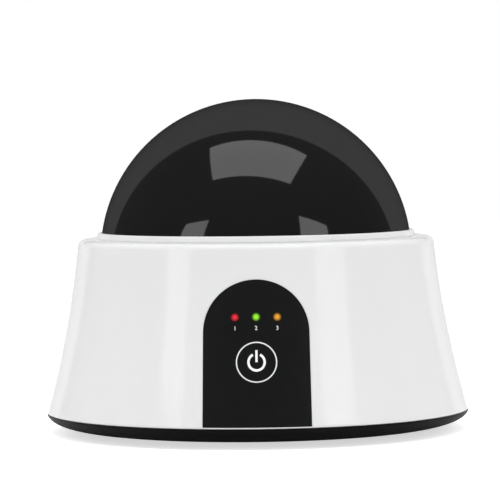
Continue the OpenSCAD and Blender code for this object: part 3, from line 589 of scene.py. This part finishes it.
# Panes that the dome shows as windows: corners in X and Y overhead, and in X and Z in front
OVERHEAD_Z = 0.99
OVERHEAD_PANE = ((-0.377, 0.057), (0.478, -0.025), (0.441, -0.589), (-0.495, -0.472))
FRONT_Y = -1.0
LEFT_PANE = ((-1.38, 0.749), (-0.723, 0.677), (-0.798, 0.38), (-1.662, 0.38))
RIGHT_PANE = ((0.683, 0.729), (1.439, 0.698), (1.426, 0.38), (0.647, 0.38))
# Panes that the shell shows as upright bands, and the card that it shows at its edges: left, right,
# foot and top. No two panes share a plane, since one would then hide the other.
BAND_Y = -1.03
BAND_PANES = ((-1.55, -0.92, 0.10, 0.67), (0.76, 1.55, 0.10, 0.72))
CARD_Y = 0.28
REAR_CARD = (-0.39, 0.42, 0.0, 0.16)

# Lamps
OVERHEAD_LAMP_Y = -0.24
OVERHEAD_LAMP_SIZE = (0.95, 0.58)
SIDE_LAMP_X = 1.17
SIDE_LAMP_Z = 0.4
SIDE_LAMP_SIZE = (0.7, 0.6)
REAR_LAMP_AWAY = 1.2
REAR_LAMP_TURN = math.radians(125)
REAR_LAMP_Z = 0.6
REAR_LAMP_AIM_Z = 0.05
REAR_LAMP_SIZE = (0.7, 0.7)
TOP_LAMP_Z = 1.2
TOP_LAMP_SIZE = (0.5, 0.5)

# Light of the room, of the rear wall at its edge and in its middle, and of the fill
ROOM_LIGHT = 0.07
WALL_LIGHT = 0.65
WALL_MIDDLE_LIGHT = 0.02
FILL_LIGHT = 0.64
# The rear wall is a round patch: direction of its middle, how far it reaches from there, how softly
# it ends, and how its light falls toward the middle
WALL_TURN = math.radians(4.6)
WALL_RISE = math.radians(20.4)
WALL_REACH = math.radians(53.6)
WALL_SOFT = 0.01
WALL_FALL = 0.9

FLOOR_REACH = 3.0
FLOOR_CELLS = 8
# What the camera sees added to the floor's own light, so that it is white outside the shadow
FLOOR_LIFT = 0.62


def area_lamp(name, place, aim, size):
    """Soft rectangular lamp of an even radiance that faces a point. Reflections don't show it."""
    data = bpy.data.lights.new(name, "AREA")
    data.shape = "RECTANGLE"
    data.size, data.size_y = size
    data.energy = RADIANCE * math.pi * size[0] * size[1]
    lamp = add_object(name, data)
    lamp.location = place
    lamp.rotation_mode = "QUATERNION"
    lamp.rotation_quaternion = (Vector(aim) - Vector(place)).to_track_quat("-Z", "Y")
    lamp.visible_camera = False
    lamp.visible_glossy = False


def lighting_group(name, state):
    """Collection that makes a pane show on the dome only, or on all but the dome."""
    group = bpy.data.collections.new(name)
    group.objects.link(nodes["dome_cover"])
    group.collection_objects[0].light_linking.link_state = state
    return group


def pane(name, corners, radiance, radiance_rear, group=None):
    """Four-sided light that only reflections show. Its radiance changes from front to rear.

    It lets rays through, so that a piece outside its group sees what is behind it.
    """
    bm = bmesh.new()
    bm.faces.new([bm.verts.new(corner) for corner in corners])
    material = bpy.data.materials.new(name)
    material.use_nodes = True
    tree = material.node_tree
    tree.nodes.clear()
    place = tree.nodes.new("ShaderNodeTexCoord")
    glow = tree.nodes.new("ShaderNodeEmission")
    clear = tree.nodes.new("ShaderNodeBsdfTransparent")
    both = tree.nodes.new("ShaderNodeAddShader")
    output = tree.nodes.new("ShaderNodeOutputMaterial")
    depth = along(tree, place.outputs["Generated"], "Y")
    link(tree, mapped(tree, depth, radiance, radiance_rear, 0.0, 1.0), glow.inputs["Strength"])
    link(tree, glow.outputs["Emission"], both.inputs[0])
    link(tree, clear.outputs["BSDF"], both.inputs[1])
    link(tree, both.outputs["Shader"], output.inputs["Surface"])
    sheet = add_object(name, mesh_from(name, bm))
    sheet.data.materials.append(material)
    sheet.visible_camera = False
    sheet.visible_diffuse = False
    sheet.visible_transmission = False
    sheet.visible_shadow = False
    sheet.light_linking.receiver_collection = group


def lying(corners, z):
    """Corners in X and Y, laid at a height."""
    return [(x, y, z) for x, y in corners]


def standing(corners, y):
    """Corners in X and Z, stood up at a place along Y."""
    return [(x, y, z) for x, z in corners]


def upright(sides, y):
    """Corners of an upright rectangle, from its left, right, foot and top."""
    left, right, foot, top = sides
    return standing(((left, top), (right, top), (right, foot), (left, foot)), y)


def studio_lights():
    """Lamps, and the panes that reflections show in their place.

    In the photograph, the dome and the shell don't reflect the same lamps.
    """
    only_dome = lighting_group("only_dome", "INCLUDE")
    all_but_dome = lighting_group("all_but_dome", "EXCLUDE")
    pane("overhead_pane", lying(OVERHEAD_PANE, OVERHEAD_Z), RADIANCE, RADIANCE * OVERHEAD_REAR)
    pane("left_pane", standing(LEFT_PANE, FRONT_Y), RADIANCE, RADIANCE, only_dome)
    pane("right_pane", standing(RIGHT_PANE, FRONT_Y), RADIANCE, RADIANCE, only_dome)
    pane("rear_card", upright(REAR_CARD, CARD_Y), CARD_RADIANCE, CARD_RADIANCE, all_but_dome)
    area_lamp("overhead_softbox", (0.0, OVERHEAD_LAMP_Y, OVERHEAD_Z), (0.0, OVERHEAD_LAMP_Y, 0.0),
              OVERHEAD_LAMP_SIZE)
    for sides in BAND_PANES:
        pane("band_pane", upright(sides, BAND_Y), RADIANCE, RADIANCE, all_but_dome)
    for side in (-1, 1):
        x, turn = side * SIDE_LAMP_X, side * REAR_LAMP_TURN
        area_lamp("side_softbox", (x, FRONT_Y, SIDE_LAMP_Z), (x, 0.0, SIDE_LAMP_Z), SIDE_LAMP_SIZE)
        area_lamp("rear_fill",
                  (REAR_LAMP_AWAY * math.sin(turn), -REAR_LAMP_AWAY * math.cos(turn), REAR_LAMP_Z),
                  (0.0, 0.0, REAR_LAMP_AIM_Z), REAR_LAMP_SIZE)
    area_lamp("top_fill", (0.0, 0.0, TOP_LAMP_Z), (0.0, 0.0, 0.0), TOP_LAMP_SIZE)


def studio_world():
    """White to the camera; a dim room with a rear wall, pale round its edge, to everything else."""
    level = math.cos(WALL_RISE)
    wall_axis = (level * math.sin(WALL_TURN), level * math.cos(WALL_TURN), math.sin(WALL_RISE))
    wall_edge = math.cos(WALL_REACH)
    world = bpy.data.worlds.new("studio")
    world.use_nodes = True
    tree = world.node_tree
    background = tree.nodes["Background"]
    path = tree.nodes.new("ShaderNodeLightPath")
    toward = tree.nodes.new("ShaderNodeTexCoord").outputs["Generated"]
    off_axis_cos = vector_step(tree, "DOT_PRODUCT", toward, wall_axis)["Value"]
    on_wall = mapped(tree, off_axis_cos, 0.0, 1.0, wall_edge - WALL_SOFT, wall_edge + WALL_SOFT)
    off_middle = mapped(tree, along(tree, toward, "Y"), 1.0, 0.0, 0.0, 1.0)
    wall = mixed(tree, number_step(tree, "POWER", off_middle, WALL_FALL),
                 (WALL_MIDDLE_LIGHT,) * 3, (WALL_LIGHT,) * 3)
    reflected = mixed(tree, on_wall, (ROOM_LIGHT,) * 3, wall)
    indirect = mixed(tree, path.outputs["Is Diffuse Ray"], reflected, (FILL_LIGHT,) * 3)
    direct = number_step(tree, "MAXIMUM", path.outputs["Is Camera Ray"],
                         path.outputs["Is Transmission Ray"])
    link(tree, mixed(tree, direct, indirect, WHITE), background.inputs["Color"])
    bpy.context.scene.world = world


def floor():
    """Pale floor that keeps the object's shadow and is white to the camera elsewhere."""
    material = surface("floor_pale", FLOOR_WHITE, 0.9, vary=0.01, patch=300 * MM, grain=4 * MM,
                       relief=0.02 * MM, specular=0.0)
    tree = material.node_tree
    shader = tree.nodes["Principled BSDF"]
    path = tree.nodes.new("ShaderNodeLightPath")
    link(tree, mixed(tree, path.outputs["Is Camera Ray"], BLACK, (FLOOR_LIFT,) * 3),
         shader.inputs["Emission Color"])
    shader.inputs["Emission Strength"].default_value = 1.0
    bm = bmesh.new()
    bmesh.ops.create_grid(bm, x_segments=FLOOR_CELLS, y_segments=FLOOR_CELLS, size=FLOOR_REACH)
    plane = add_object("floor", mesh_from("floor", bm))
    plane.data.materials.append(material)
    plane.location.z = cad_box[0].z


studio_lights()
studio_world()
floor()
bpy.context.scene.view_settings.view_transform = "Standard"
